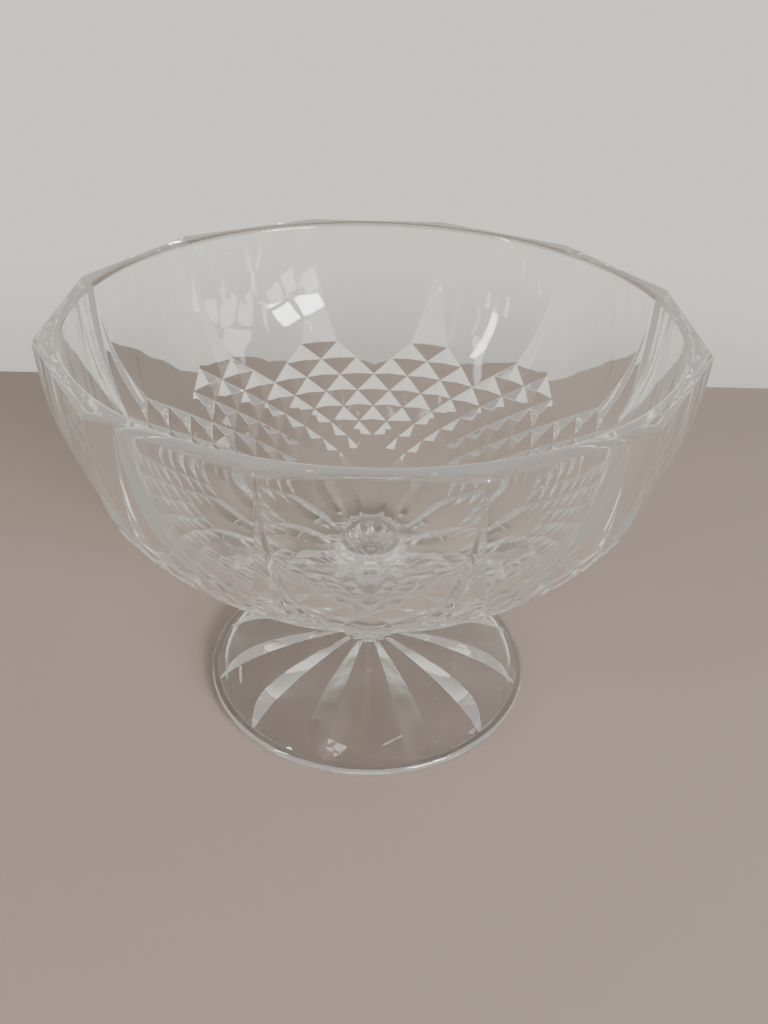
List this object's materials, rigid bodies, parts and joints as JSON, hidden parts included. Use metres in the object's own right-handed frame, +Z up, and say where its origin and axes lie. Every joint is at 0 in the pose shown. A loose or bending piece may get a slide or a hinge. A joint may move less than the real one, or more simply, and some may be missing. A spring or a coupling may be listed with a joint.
{
  "type": "footed punch bowl",
  "caption": "Clear pressed-glass footed bowl: arched panels over a diamond band, waisted short stem, domed foot with leaf flutes; open top for punch or fruit.",
  "frame": {"origin": "on the table plane, under the centre of the foot", "axes": "+Z up along the axis of bowl, stem and foot; one of the panels faces -Y"},
  "size_m": [0.2164, 0.2164, 0.157],
  "materials": {
    "bowl_glass": "clear, pressed and fire polished",
    "stem_glass": "clear, pressed facets",
    "foot_glass": "clear, pressed and fire polished"
  },
  "bodies": {
    "root": {"bowl": "bowl_glass", "stem": "stem_glass", "foot": "foot_glass"}
  },
  "joints": []
}
